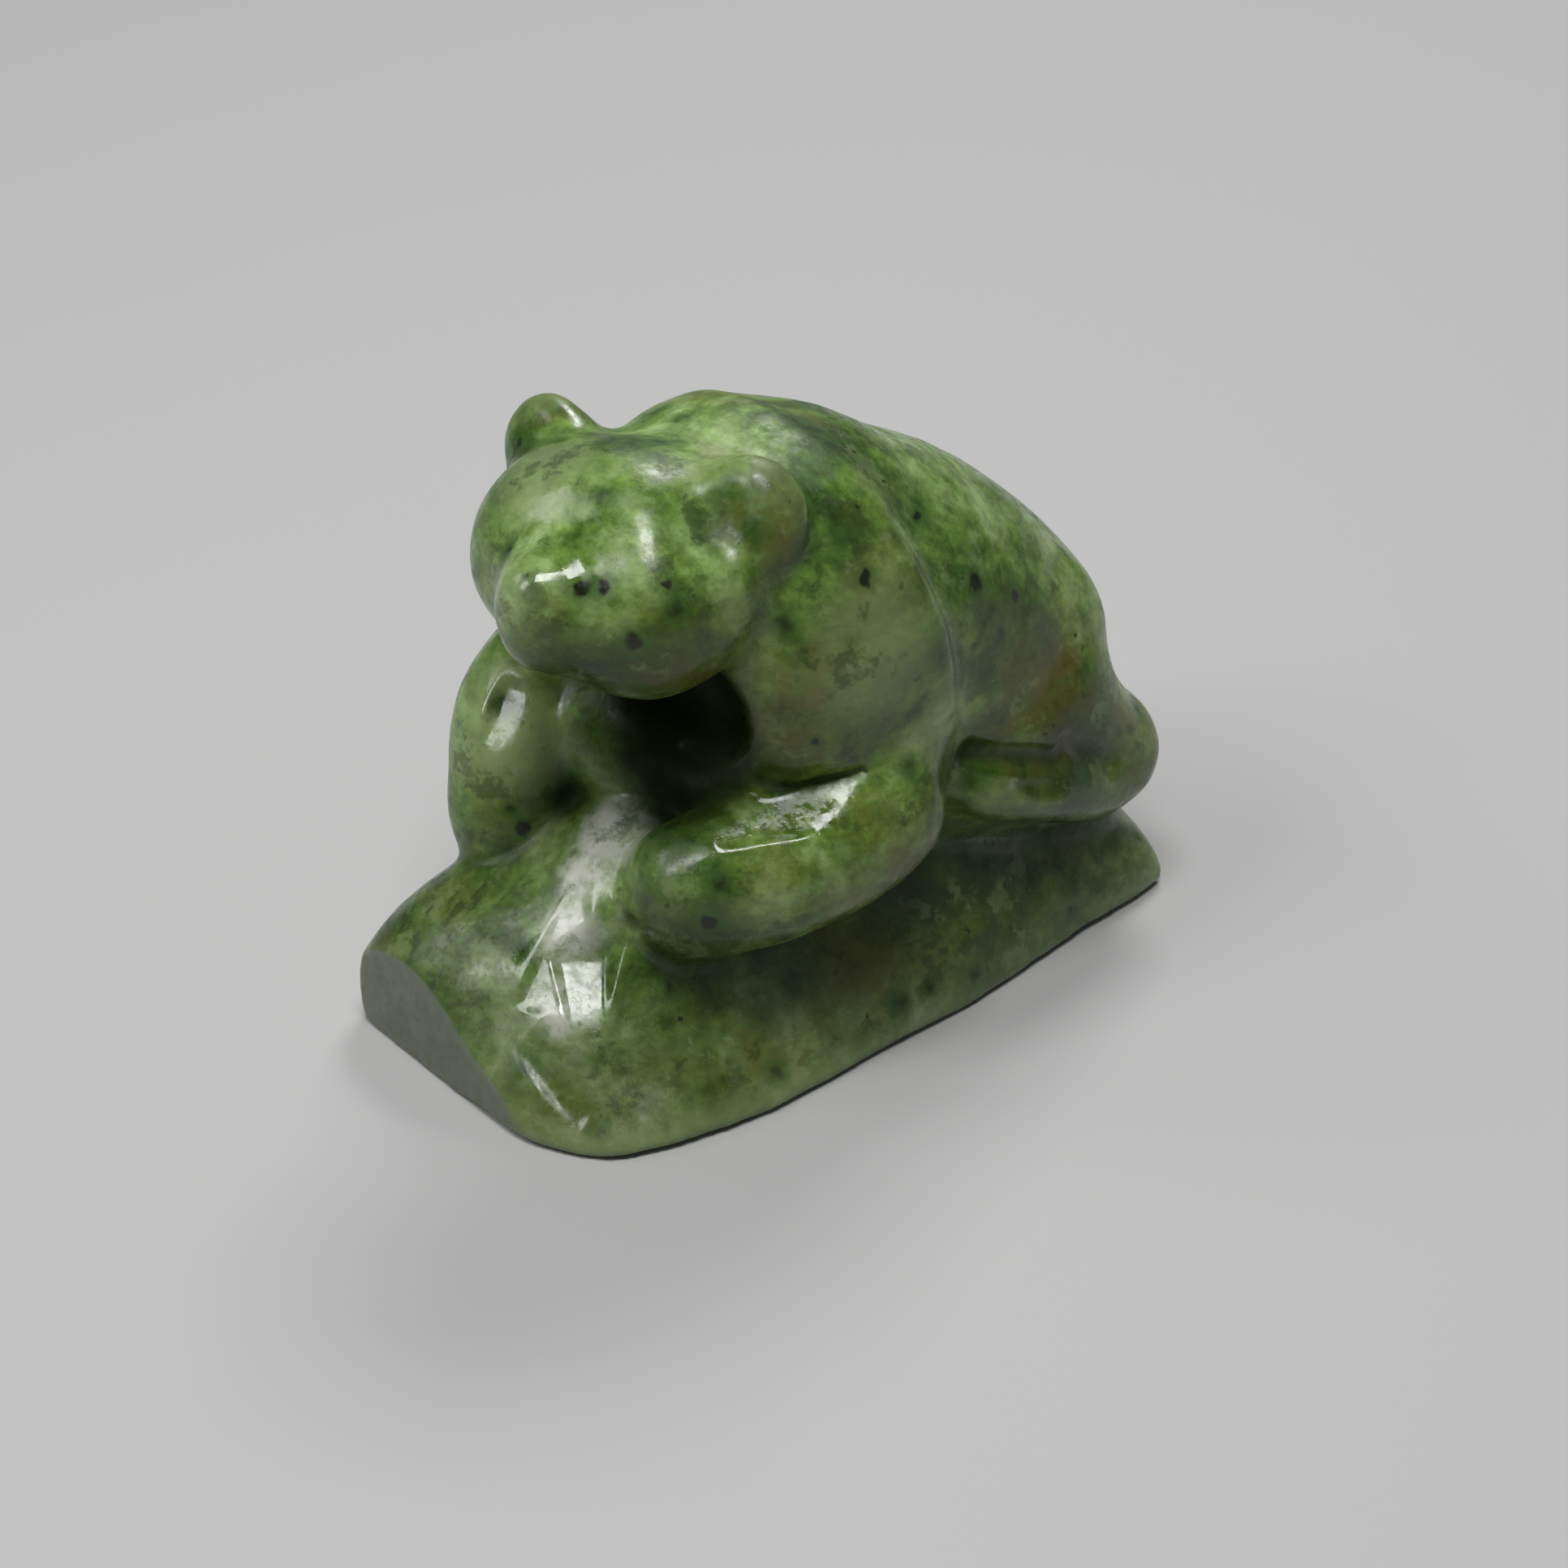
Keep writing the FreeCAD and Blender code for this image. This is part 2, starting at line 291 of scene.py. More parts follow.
def sample(field, points):
    """Values of a field at points in mm, read between the grid points."""
    place = points / STEP - FIRST
    base = np.clip(np.floor(place).astype(int), 0, SHAPE - 2)
    part = np.clip(place - base, 0, 1)
    total = 0
    for i in (0, 1):
        for j in (0, 1):
            for k in (0, 1):
                share = np.prod(np.where((i, j, k), part, 1 - part), axis=1)
                value = field[base[:, 0] + i, base[:, 1] + j, base[:, 2] + k]
                total = total + (value.T * share).T
    return total


def window(centre, reach):
    """The part of the grid within reach of a point: its slices, and its points in mm."""
    low = np.clip(np.floor((centre - reach) / STEP).astype(int) - FIRST, 0, SHAPE - 1)
    high = np.clip(np.ceil((centre + reach) / STEP).astype(int) - FIRST + 1, 1, SHAPE)
    axes = [(np.arange(a, b) + f) * STEP for a, b, f in zip(low, high, FIRST)]
    points = np.stack(np.meshgrid(*axes, indexing="ij"), axis=-1)
    return tuple(slice(a, b) for a, b in zip(low, high)), points


def egg(points, centre, radii, turn=None):
    """Distance to an egg-like form of three radii. The columns of turn are its own axes."""
    local = points - centre
    if turn is not None:
        local = local @ turn
    radii = np.asarray(radii, float)
    near = np.linalg.norm(local / radii, axis=-1)
    far = np.linalg.norm(local / radii ** 2, axis=-1)
    return near * (near - 1) / np.maximum(far, 1e-9)


def joined(a, b, blend):
    """Two distances joined into one form, with a fillet where they meet."""
    overlap = np.clip(blend - np.abs(a - b), 0, None) / blend
    return np.minimum(a, b) - overlap ** 2 * blend / 4


def add_egg(field, centre, radii, turn=None, blend=1.0):
    """Adds an egg-like swelling to the stone."""
    place, points = window(centre, max(radii) + blend + 2)
    field[place] = joined(field[place], egg(points, centre, radii, turn), blend)


def cut_egg(field, centre, radii, turn=None, blend=1.0):
    """Grinds an egg-like hollow out of the stone."""
    place, points = window(centre, max(radii) + blend + 2)
    field[place] = -joined(-field[place], egg(points, centre, radii, turn), blend)


def to_skin(field, point):
    """The nearest place on the stone's skin to a point, and the way the skin faces there."""
    point = np.array(point, float)
    for _ in range(6):
        here = sample(field, point[None])[0]
        slope = np.array([
            sample(field, (point + reach)[None])[0] - sample(field, (point - reach)[None])[0]
            for reach in np.eye(3) * STEP]) / (2 * STEP)
        point = point - slope * here / max(slope @ slope, 0.2)
    return point, slope / np.linalg.norm(slope)


def near_line(points, start, end):
    """Distance from points to the straight run between two places."""
    run = end - start
    along = np.clip(((points - start) @ run) / (run @ run), 0, 1)
    return np.linalg.norm(points - start - along[..., None] * run, axis=-1)


# ---- the stone's shape ----------------------------------------------------------------------------
def head_frame():
    """The head's own axes as columns: its left, its back and its top."""
    turn = Matrix.Rotation(math.radians(HEAD_TURN), 3, "Z")
    tilt = Matrix.Rotation(math.radians(HEAD_TILT), 3, "Y")
    lift = Matrix.Rotation(math.radians(-HEAD_LIFT), 3, "X")
    return np.array(turn @ tilt @ lift)


HEAD_AXES = head_frame()
HEAD_MIDDLE = middle("head")


def on_head(left, back, up):
    """A place in the head's own frame, in mm from its middle."""
    return HEAD_MIDDLE + HEAD_AXES @ np.array((left, back, up), float)


def mask_egg(centre, radii):
    """1 inside an egg-like region, fading to 0 at one and a half times its radii."""
    end, fade = 1.5, 0.8
    everywhere = np.zeros(tuple(SHAPE), np.float32)
    place, points = window(np.asarray(centre, float), max(radii) * 1.6)
    near = np.linalg.norm((points - centre) / np.asarray(radii, float), axis=-1)
    everywhere[place] = np.clip((end - near) / fade, 0, 1)
    return everywhere


def fused_stone(distances):
    """All the forms as one stone, with joins eased as a carver leaves them."""
    together = np.minimum.reduce(list(distances.values()))
    closed = true_distance(together, SEAM_CLOSING) + SEAM_CLOSING
    stone = eased(closed, TIGHT_JOIN)
    for radius, places in ((SOFT_JOIN, soft_places()), (WIDE_JOIN, wide_places())):
        smoother = eased(closed, radius)
        for centre, radii in places:
            stone = stone + (smoother - stone) * mask_egg(centre, radii)
    return stone


def soft_places():
    """Where joins are eased to a middling radius: behind the ears, the cheeks and the haunches."""
    return (
        (middle("ear_left") + (0, 3, -2), (7, 5, 6)),
        (middle("ear_right") + (0, 3, -2), (7, 5, 6)),
        (middle("haunch_right"), (8, 13, 12)),
        (middle("haunch_left"), (8, 11, 9)),
    )


def wide_places():
    """Where joins are eased widely: the nape, the rump, the flanks over the haunches, the elbow."""
    return (
        (on_head(-2, 6, 6), (7, 5, 6)),
        (middle("back") + (0, 9, 2), (9, 9, 9)),
        (middle("haunch_left") + (-1, 0, 6), (8, 13, 6)),
        (middle("haunch_right") + (1, 0, 6), (8, 13, 6)),
        (middle("forearm_left") + (1.5, 7.5, 5.5), (5, 5, 4)),
    )


def ease_shoulder_line(stone, distances):
    """Rounds the step behind the shoulders, most along the spine and least at the elbow."""
    across = np.abs(distances["shoulders"] - distances["back"])
    heights = (np.arange(SHAPE[2]) + FIRST[2]) * STEP
    top = corner("shoulders")[2]
    share = np.interp(heights, (top - 22, top - 12, top), (0.25, 0.75, 1.0))
    mask = np.clip(1.3 - across / 2.6, 0, 1) * share
    return stone + (soften(stone, SHOULDER_EASE) - stone) * mask


def ear_axes(turn):
    """An ear's own axes, turned about the head's upright by an angle in degrees."""
    return HEAD_AXES @ np.array(Matrix.Rotation(math.radians(turn), 3, "Z"))


def carve_head(stone):
    """The left cheek, the dip before the brow, the muzzle, the ears' hollows and the right cheek."""
    add_egg(stone, on_head(4.4, -3.6, -2.4), (5.4, 5.4, 5.5), HEAD_AXES, 2.0)
    cut_egg(stone, on_head(1.4, -9.4, 4.7), (6.4, 3.3, 2.0), HEAD_AXES, 0.9)
    add_egg(stone, on_head(0.1, -8.1, -2.3), (3.8, 3.9, 4.5), HEAD_AXES, 0.9)
    left_ear = ear_axes(LEFT_EAR_TURN)
    add_egg(stone, on_head(8.4, 1.0, 4.7), (4.2, 2.6, 5.0), left_ear, 0.6)
    cut_egg(stone, on_head(8.1, -2.4, 5.9), (2.4, 2.1, 3.9), left_ear, 1.1)
    right_ear = ear_axes(RIGHT_EAR_TURN)
    add_egg(stone, on_head(-9.5, 2.2, 5.1), (4.0, 2.4, 4.8), right_ear, 1.4)
    cut_egg(stone, on_head(-9.7, -0.9, 6.7), (2.1, 1.6, 2.6), right_ear, 0.8)
    add_egg(stone, on_head(-5.6, -1.5, -0.5), (5.3, 5.6, 6.2), HEAD_AXES, 2.0)


def shape_chest(stone):
    """The deep hollow under the chin, closed behind by stone that joins the chest to the crest."""
    crest = corner("rock_base")[2]
    cut_egg(stone, np.array((2.6, -13.8, crest + 8.0)), (7.2, 6.4, 4.9), None, 2.4)
    add_egg(stone, np.array((-4.5, -8.0, crest + 1.6)), (7.0, 5.6, 5.6), None, 1.2)


def raise_hump(stone):
    """The fullness of the hump over the shoulders, and of the rump over each haunch."""
    for side, share in ((1, 0.2), (-1, 0.8)):
        word = "left" if side > 0 else "right"
        add_egg(stone, spot(f"haunch_{word}", (share, 0.66, 0.88)), (4.6, 4.8, 5.4), None, 2.4)
    top = corner("shoulders")[2]
    add_egg(stone, np.array((-1.0, -0.2, top - 7.2)), (10.5, 8.6, 6.2), None, 3.0)


def carve_forearm(stone, distances):
    """Two long flats along the left forearm, with a crisp ridge between, and one on the right."""
    forearm = distances["forearm_left"]
    low, high = corner("forearm_left", high=False), corner("forearm_left")
    along = (-0.53, -0.82, -0.20)
    upper = np.array((high[0] - 4.4, (low[1] + high[1]) / 2 - 2.0, high[2] - 1.6))
    grind(stone, upper, (0.38, -0.36, 0.85), along, (5.4, 1.7, -0.3), 0.28, forearm)
    lower = upper + (1.3, -3.0, -2.4)
    grind(stone, lower, (0.60, -0.48, 0.64), along, (5.6, 1.2, 0.2), 0.25, forearm)
    right = spot("forearm_right", (0.73, 0.17, 0.65))
    grind(stone, right, (0.30, -0.72, 0.63), (0, -0.6, -0.8), (3.4, 1.5, -0.2), 0.35)


def carve_foot(stone, side):
    """A hind foot: the groove over it, in two runs, and the leaf-shaped hollow on its side."""
    word = "left" if side > 0 else "right"
    low, high = corner(f"hind_foot_{word}", high=False), corner(f"hind_foot_{word}")
    outer = side * max(abs(low[0]), abs(high[0]))
    knee = np.array((outer - side * 1.4, low[1] + 0.6, high[2] + 1.2))
    hock = np.array((outer - side * 0.4, low[1] + 8.4, high[2] - 1.8))
    heel = np.array((outer - side * 0.8, low[1] + 14.6, high[2] - 4.6))
    for start, end, depth in ((knee, hock, 0.75), (hock, heel, 0.55)):
        (start, face), (end, _) = to_skin(stone, start), to_skin(stone, end)
        place, points = window((start + end) / 2, 8)
        away = near_line(points, start + face * GROOVE_RADIUS, end + face * GROOVE_RADIUS)
        stone[place] = -joined(-stone[place], away - GROOVE_RADIUS - depth, 0.4)
    leaf, face = to_skin(stone, np.array((outer, low[1] + 5.6, high[2] - 2.4)))
    lie = np.array(Matrix.Rotation(math.radians(LEAF_SLOPE), 3, "X"))
    cut_egg(stone, leaf + face * 0.45, (1.25, 3.7, 1.30), lie, 0.12)


def swell_rock(stone):
    """The full, rounded lobe at the rock's front right corner."""
    low, high = corner("rock_base", high=False), corner("rock_base")
    add_egg(stone, np.array((-5.6, low[1] + 8.6, high[2] * 0.18)), (9.0, 8.4, 8.0), None, 2.5)


def grind(stone, near, normal, along, size, depth, form=None):
    """Grinds a long flat that faces along normal, only on one form's own skin where it is given.

    Size is its half length and half width in mm, and its flare: how much wider it grows along.
    """
    normal = np.asarray(normal, float) / np.linalg.norm(normal)
    along = np.asarray(along, float) - (np.asarray(along) @ normal) * normal
    along = along / np.linalg.norm(along)
    half_length, half_width, flare = size
    point = to_skin(stone, near)[0] - normal * depth
    place, points = window(point, half_length * 1.4)
    away = points - point
    run = away @ along
    width = half_width * (1 + flare * run / half_length)
    beyond = np.maximum(np.abs(run) - half_length, np.abs(away @ np.cross(normal, along)) - width)
    flat = away @ normal - FACET_WALL * np.clip(beyond, 0, None)
    if form is not None:
        flat = flat - 3.0 * np.clip(form[place] - 0.5, 0, None)
    stone[place] = -joined(-stone[place], -flat, CRISP_EDGE)


def sawn_plane():
    """A point on the sawn flat at the rock's front, and the way it faces."""
    low = corner("rock_base", high=False)
    turn = math.radians(SAWN_TURN)
    point = np.array((low[0] * SAWN_CORNER_SHARE, low[1] + SAWN_INSET, 0))
    return point, np.array((math.sin(turn), -math.cos(turn), 0))


def saw_front(stone):
    """The sawn flat across the rock's front, with its edge just broken."""
    point, normal = sawn_plane()
    place, points = window(point + (12, 0, 4), 24)
    flat = (points - point) @ normal
    stone[place] = -joined(-stone[place], -flat, 0.2)


def carve_ridge(stone):
    """The small flats left along the ridge that runs down from the crest to the rock's foot."""
    crest = corner("rock_base")[2]
    for (left, back, rise), normal, along, size, depth in RIDGE_FLATS:
        grind(stone, (left, back, rise * crest), normal, along, size, depth)


def undulate(stone):
    """The slight unevenness of a surface polished by hand."""
    rng = np.random.default_rng(SEED)
    for spread, height in POLISH_LUMPS:
        lumps = soften(rng.standard_normal(tuple(SHAPE)).astype(np.float32), spread)
        stone += lumps * (height / lumps.std())


def rest_flat(stone):
    """The underside, ground flat."""
    heights = (np.arange(SHAPE[2]) + FIRST[2]) * STEP
    np.maximum(stone, -heights[None, None, :], out=stone)


def build_stone():
    """The whole carving as one field of distances, and each CAD form's own field."""
    distances = {name: node_distance(name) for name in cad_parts}
    stone = fused_stone(distances)
    raise_hump(stone)
    shape_chest(stone)
    carve_head(stone)
    swell_rock(stone)
    stone = ease_shoulder_line(stone, distances)
    stone = soften(stone, POLISH)
    carve_foot(stone, 1)
    carve_foot(stone, -1)
    undulate(stone)
    carve_forearm(stone, distances)
    carve_ridge(stone)
    saw_front(stone)
    rest_flat(stone)
    return true_distance(stone), distances


# ---- from the grid to pieces ----------------------------------------------------------------------
def outward(points, faces):
    """The faces turned so that they point out of the stone."""
    a, b, c = (points[faces[:, i]] for i in range(3))
    volume = np.einsum("ij,ij->i", a, np.cross(b, c)).sum()
    return faces if volume > 0 else faces[:, ::-1]


def owners(distances, centres):
    """Which CAD form each face belongs to: the nearest one."""
    return np.argmin([sample(field, centres) for field in distances.values()], axis=0)


def rim_edges(faces):
    """Directed edges that only one of these faces has."""
    edges = np.concatenate([faces[:, (i, (i + 1) % 4)] for i in range(4)])
    edges = edges[edges[:, 0] != edges[:, 1]]
    known = set(map(tuple, edges.tolist()))
    return [(a, b) for a, b in known if (b, a) not in known]


def loops_of(edges):
    """Groups edges that touch into rims."""
    parent = {}

    def root(x):
        parent.setdefault(x, x)
        while parent[x] != x:
            parent[x] = parent[parent[x]]
            x = parent[x]
        return x

    for a, b in edges:
        parent[root(a)] = root(b)
    rims = {}
    for a, b in edges:
        rims.setdefault(root(a), []).append((a, b))
    return list(rims.values())


def make_piece(name, points, normals, faces, marks, material):
    """One closed piece of the stone: its share of the skin, closed inside the stone."""
    used, where = np.unique(faces, return_inverse=True)
    faces = where.reshape(faces.shape)
    corners = [tuple(p) for p in (points[used] * MM).tolist()]
    skin_faces = [tuple(dict.fromkeys(face)) for face in faces.tolist()]
    skin_faces = [face for face in skin_faces if len(face) > 2]
    inner_faces = []
    for rim in loops_of(rim_edges(faces)):
        apex = np.mean([corners[a] for a, b in rim], axis=0)
        corners.append(tuple(apex))
        inner_faces += [(b, a, len(corners) - 1) for a, b in rim]
    mesh = bpy.data.meshes.new(name)
    mesh.from_pydata(corners, [], skin_faces + inner_faces, shade_flat=False)
    smooth = normals[used]
    loop_normals = [tuple(smooth[i]) for face in skin_faces for i in face]
    loop_normals += [tuple(mesh.polygons[len(skin_faces) + k].normal)
                     for k in range(len(inner_faces)) for _ in range(3)]
    mesh.normals_split_custom_set(loop_normals)
    for mark, values in marks.items():
        layer = mesh.attributes.new(mark, "FLOAT", "POINT")
        full = np.concatenate([values[used], np.full(len(corners) - len(used), 0.5)])
        layer.data.foreach_set("value", full.astype(np.float32))
    mesh.materials.append(material)
    piece = bpy.data.objects.new(name, mesh)
    bpy.context.collection.objects.link(piece)
    return piece


def part_stone(stone, distances):
    """Parts the finished skin into one piece for each CAD form.

    Each vertex carries bulk, how much of its neighbourhood is stone (over a half in a crease, under
    it on an edge), and sawn, 1 on the sawn flat.
    """
    specks = [(to_skin(stone, spot(name, shares))[0], radius) for name, shares, radius in SPECKS]
    material = jade(specks)
    points, faces = skin(stone)
    points = points.astype(float)
    faces = outward(points, faces.astype(int))
    slope = np.stack(np.gradient(stone, STEP), axis=-1)
    for _ in range(2):
        gradient = sample(slope, points)
        steep = np.maximum((gradient ** 2).sum(axis=1), 0.05)
        points = points - gradient * (sample(stone, points) / steep)[:, None]
    normals = sample(slope, points)
    normals /= np.linalg.norm(normals, axis=1)[:, None]
    full = soften(np.clip(0.5 - stone / 2, 0, 1), 1.6)
    sawn_point, sawn_normal = sawn_plane()
    off_plane = np.abs((points - sawn_point) @ sawn_normal)
    marks = {"bulk": sample(full, points), "sawn": np.clip(1.6 - off_plane / SAWN_BAND, 0, 1)}
    owner = owners(distances, points[faces].mean(axis=1))
    for index, name in enumerate(distances):
        mine = faces[owner == index]
        piece = make_piece(f"stone_{name}", points, normals, mine, marks, material)
        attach(piece, "root")
        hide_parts(name)


# ---- jade -----------------------------------------------------------------------------------------
def add_node(tree, kind, inputs, **settings):
    """A shader node. Each input is a value, or the output of another node."""
    node = tree.nodes.new(kind)
    for name, value in settings.items():
        setattr(node, name, value)
    for name, value in inputs.items():
        if isinstance(value, bpy.types.NodeSocket):
            tree.links.new(value, node.inputs[name])
        else:
            node.inputs[name].default_value = value
    return node


def cloud(tree, place, size, detail=5.0, rough=0.55, warp=0.0):
    """Cloudy noise from 0 to 1 whose broadest patches are about size mm across."""
    inputs = {"Vector": place, "Scale": 1 / size, "Detail": detail}
    inputs.update({"Roughness": rough, "Distortion": warp})
    return add_node(tree, "ShaderNodeTexNoise", inputs).outputs["Fac"]


def ranged(tree, value, low, high, out_low=0.0, out_high=1.0):
    """Carries a value from one range to another, easing in and out."""
    inputs = {"Value": value, "From Min": low, "From Max": high, "To Min": out_low, "To Max": out_high}
    node = add_node(tree, "ShaderNodeMapRange", inputs, interpolation_type="SMOOTHSTEP")
    return node.outputs["Result"]


def calc(tree, operation, a, b):
    """One sum on two values."""
    return add_node(tree, "ShaderNodeMath", {0: a, 1: b}, operation=operation).outputs[0]


def tinted(tree, share, color, over, blend="MIX"):
    """A colour laid over another by a share from 0 to 1."""
    inputs = {0: share, 6: color, 7: over}
    return add_node(tree, "ShaderNodeMix", inputs, data_type="RGBA", blend_type=blend).outputs[2]


def shifted(tree, place, offset, stretch=(1, 1, 1), turn=(0, 0, 0)):
    """The same places moved, turned and stretched, so that patterns don't repeat each other."""
    inputs = {"Vector": place, "Location": offset, "Rotation": turn, "Scale": stretch}
    return add_node(tree, "ShaderNodeMapping", inputs).outputs[0]


def ball_share(tree, place, centre, inner, outer):
    """1 within inner mm of a point, falling to 0 at outer mm."""
    away = add_node(tree, "ShaderNodeVectorMath", {0: place, 1: tuple(centre)}, operation="DISTANCE")
    return ranged(tree, away.outputs["Value"], inner, outer, 1.0, 0.0)


def warped(tree, place, size, amount):
    """Places shaken by noise, so that round marks get ragged edges."""
    inputs = {"Vector": place, "Scale": 1 / size, "Detail": 3.0}
    shake = add_node(tree, "ShaderNodeTexNoise", inputs).outputs["Color"]
    inputs = {0: shake, 1: (0.5, 0.5, 0.5)}
    centred = add_node(tree, "ShaderNodeVectorMath", inputs, operation="SUBTRACT").outputs[0]
    inputs = {0: centred, "Scale": amount}
    scaled = add_node(tree, "ShaderNodeVectorMath", inputs, operation="SCALE").outputs[0]
    return add_node(tree, "ShaderNodeVectorMath", {0: place, 1: scaled}, operation="ADD").outputs[0]


def scattered_specks(tree, place, spacing, chance, inner, outer):
    """Specks scattered through the stone: some cells of a lattice hold one, most hold none."""
    inputs = {"Vector": place, "Scale": 1 / spacing, "Randomness": 1.0}
    cells = add_node(tree, "ShaderNodeTexVoronoi", inputs)
    pick = add_node(tree, "ShaderNodeSeparateColor", {0: cells.outputs["Color"]})
    held = calc(tree, "LESS_THAN", pick.outputs[0], chance)
    size = calc(tree, "MULTIPLY_ADD", pick.outputs[1], 0.7)
    size.node.inputs[2].default_value = 0.6
    away = calc(tree, "DIVIDE", cells.outputs["Distance"], size)
    near = ranged(tree, away, inner / spacing, outer / spacing, 1.0, 0.0)
    return calc(tree, "MULTIPLY", near, held)


def green_clouds(tree, place):
    """The jade's own colour: clouds of green from nearly black to pale."""
    broad = cloud(tree, place, 9.0, 9.0, 0.62, 0.5)
    ramp = add_node(tree, "ShaderNodeValToRGB", {0: broad}).color_ramp
    for element, (at, color) in zip(ramp.elements, (GREENS[0], GREENS[-1])):
        element.position, element.color = at, (*color, 1)
    for at, color in GREENS[1:-1]:
        ramp.elements.new(at).color = (*color, 1)
    color = tree.nodes[-1].outputs[0]
    fine = cloud(tree, shifted(tree, place, (7, 3, 1), (1, 1, 1.6)), 1.5, 8.0, 0.7)
    shade = ranged(tree, fine, 0.28, 0.72, 0.62, 1.42)
    return tinted(tree, 1.0, color, shade, "MULTIPLY")


def stain_share(tree, place):
    """How far the stone is stained olive: at chosen places, and faintly here and there."""
    broad = cloud(tree, shifted(tree, place, (30, 11, 5)), 13.0, 6.0, 0.6)
    share = ranged(tree, broad, 0.52, 0.68, 0.0, 0.55)
    ragged = warped(tree, place, 5.0, 8.0)
    fine = cloud(tree, shifted(tree, place, (3, 8, 2)), 3.2, 7.0, 0.7)
    patchy = ranged(tree, fine, 0.36, 0.60, 0.25, 1.0)
    for name, shares, radius, strength in STAINS:
        near = ball_share(tree, ragged, spot(name, shares), radius * 0.25, radius)
        strong = calc(tree, "MULTIPLY", near, calc(tree, "MULTIPLY", patchy, strength))
        share = calc(tree, "MAXIMUM", share, strong)
    return share


def jade_clouds(tree, place, ragged):
    """The clouded green with its olive stains, veins and streaks, painted shade darker towards the
    bottom, pale patches with painted highlights, and dark patches of painted shade.
    """
    color = green_clouds(tree, place)
    height = add_node(tree, "ShaderNodeSeparateXYZ", {0: place}).outputs[2]
    # Painted shade: darker towards the bottom.
    color = tinted(tree, ranged(tree, height, 21.0, 6.0, 0.0, 0.55), color, SHADE)
    color = tinted(tree, stain_share(tree, place), color, OLIVE)
    # Pale patches, some of them painted highlights, and dark patches of painted shade.
    for marks, tone in ((PALES_AND_HIGHLIGHTS, PALE), (PAINTED_SHADE_PATCHES, GLOOM)):
        for name, shares, radius, strength in marks:
            near = ball_share(tree, ragged, spot(name, shares), radius * 0.2, radius)
            color = tinted(tree, calc(tree, "MULTIPLY", near, strength), color, tone)
    veins = cloud(tree, shifted(tree, ragged, (5, 17, 2), (1, 1, 1.3)), 4.2, 9.0, 0.68)
    color = tinted(tree, ranged(tree, veins, 0.54, 0.62, 0.0, 0.55), color, GLOOM)
    color = tinted(tree, ranged(tree, veins, 0.46, 0.39, 0.0, 0.22), color, PALE)
    slanted = shifted(tree, place, (2, 9, 5), (1.0, 0.22, 1.0), (0.5, 0.3, 0.6))
    streaks = ranged(tree, cloud(tree, slanted, 1.3, 6.0, 0.6), 0.52, 0.62, 0, 0.75)
    front_right = middle("rock_base") * (0, 0, 1) + (-8, -24, -2)
    front = ball_share(tree, place, front_right, 5.0, 11.0)
    return tinted(tree, calc(tree, "MULTIPLY", front, streaks), color, STREAK)


def with_specks(tree, color, ragged, specks):
    """Dark specks with green halos: scattered ones, fine dots, and the chosen ones."""
    halo = scattered_specks(tree, ragged, 3.6, 0.52, 0.40, 1.7)
    color = tinted(tree, calc(tree, "MULTIPLY", halo, 0.75), color, HALO)
    core = scattered_specks(tree, ragged, 3.6, 0.52, 0.05, 0.85)
    core = calc(tree, "MULTIPLY", core, 0.85)
    dots = scattered_specks(tree, shifted(tree, ragged, (3, 1, 8)), 2.1, 0.20, 0.05, 0.32)
    color = tinted(tree, calc(tree, "MAXIMUM", core, dots), color, SPECK_AND_THROAT_SHADE)
    for centre, radius in specks:
        near = ball_share(tree, ragged, centre, radius * 0.9, radius * 2.6)
        color = tinted(tree, calc(tree, "MULTIPLY", near, 0.6), color, HALO)
        heart = ball_share(tree, ragged, centre, radius * 0.55, radius * 1.15)
        color = tinted(tree, heart, color, SPECK_AND_THROAT_SHADE)
    return color


def with_ridge_highlight(tree, color, place, ragged):
    """Painted cream highlights down the ridge, broken up by fine noise."""
    highlight_breakup = ranged(tree, cloud(tree, place, 2.2, 8.0, 0.72), 0.38, 0.56, 0.25, 1.0)
    cream_highlight = 0.0
    for name, shares, inner, outer in RIDGE_HIGHLIGHTS:
        near = ball_share(tree, ragged, spot(name, shares), inner, outer)
        cream_highlight = calc(tree, "MAXIMUM", cream_highlight, near)
    return tinted(tree, calc(tree, "MULTIPLY", highlight_breakup, cream_highlight), color, HIGHLIGHT_CREAM)


def polish_roughness(tree, place, recess, sawn):
    """Hand polish, glossier on the ground flats and duller in creases and on the sawn flat."""
    wear = cloud(tree, shifted(tree, place, (4, 4, 4)), 1.1, 7.0, 0.7)
    rough = ranged(tree, wear, 0.38, 0.64, 0.18, 0.42)
    for name, shares, radius, change in FINISH_SPOTS:
        near = ball_share(tree, place, spot(name, shares), radius * 0.6, radius)
        rough = calc(tree, "ADD", rough, calc(tree, "MULTIPLY", near, change))
    rough = calc(tree, "ADD", rough, calc(tree, "MULTIPLY", recess, 0.30))
    return calc(tree, "ADD", rough, calc(tree, "MULTIPLY", sawn, 0.16))


def fine_relief(tree, place):
    """The faint ripple of hand polishing, with tiny pits."""
    pits = ranged(tree, cloud(tree, place, 0.45, 3.0, 0.6), 0.30, 0.40, 0.0, 1.0)
    ripple = cloud(tree, shifted(tree, place, (1, 2, 3), (1, 1, 0.6)), 2.6, 3.0, 0.5)
    relief = calc(tree, "ADD", calc(tree, "MULTIPLY", pits, 0.12), ripple)
    inputs = {"Strength": 0.32, "Distance": 0.10 * MM, "Height": relief}
    return add_node(tree, "ShaderNodeBump", inputs).outputs["Normal"]


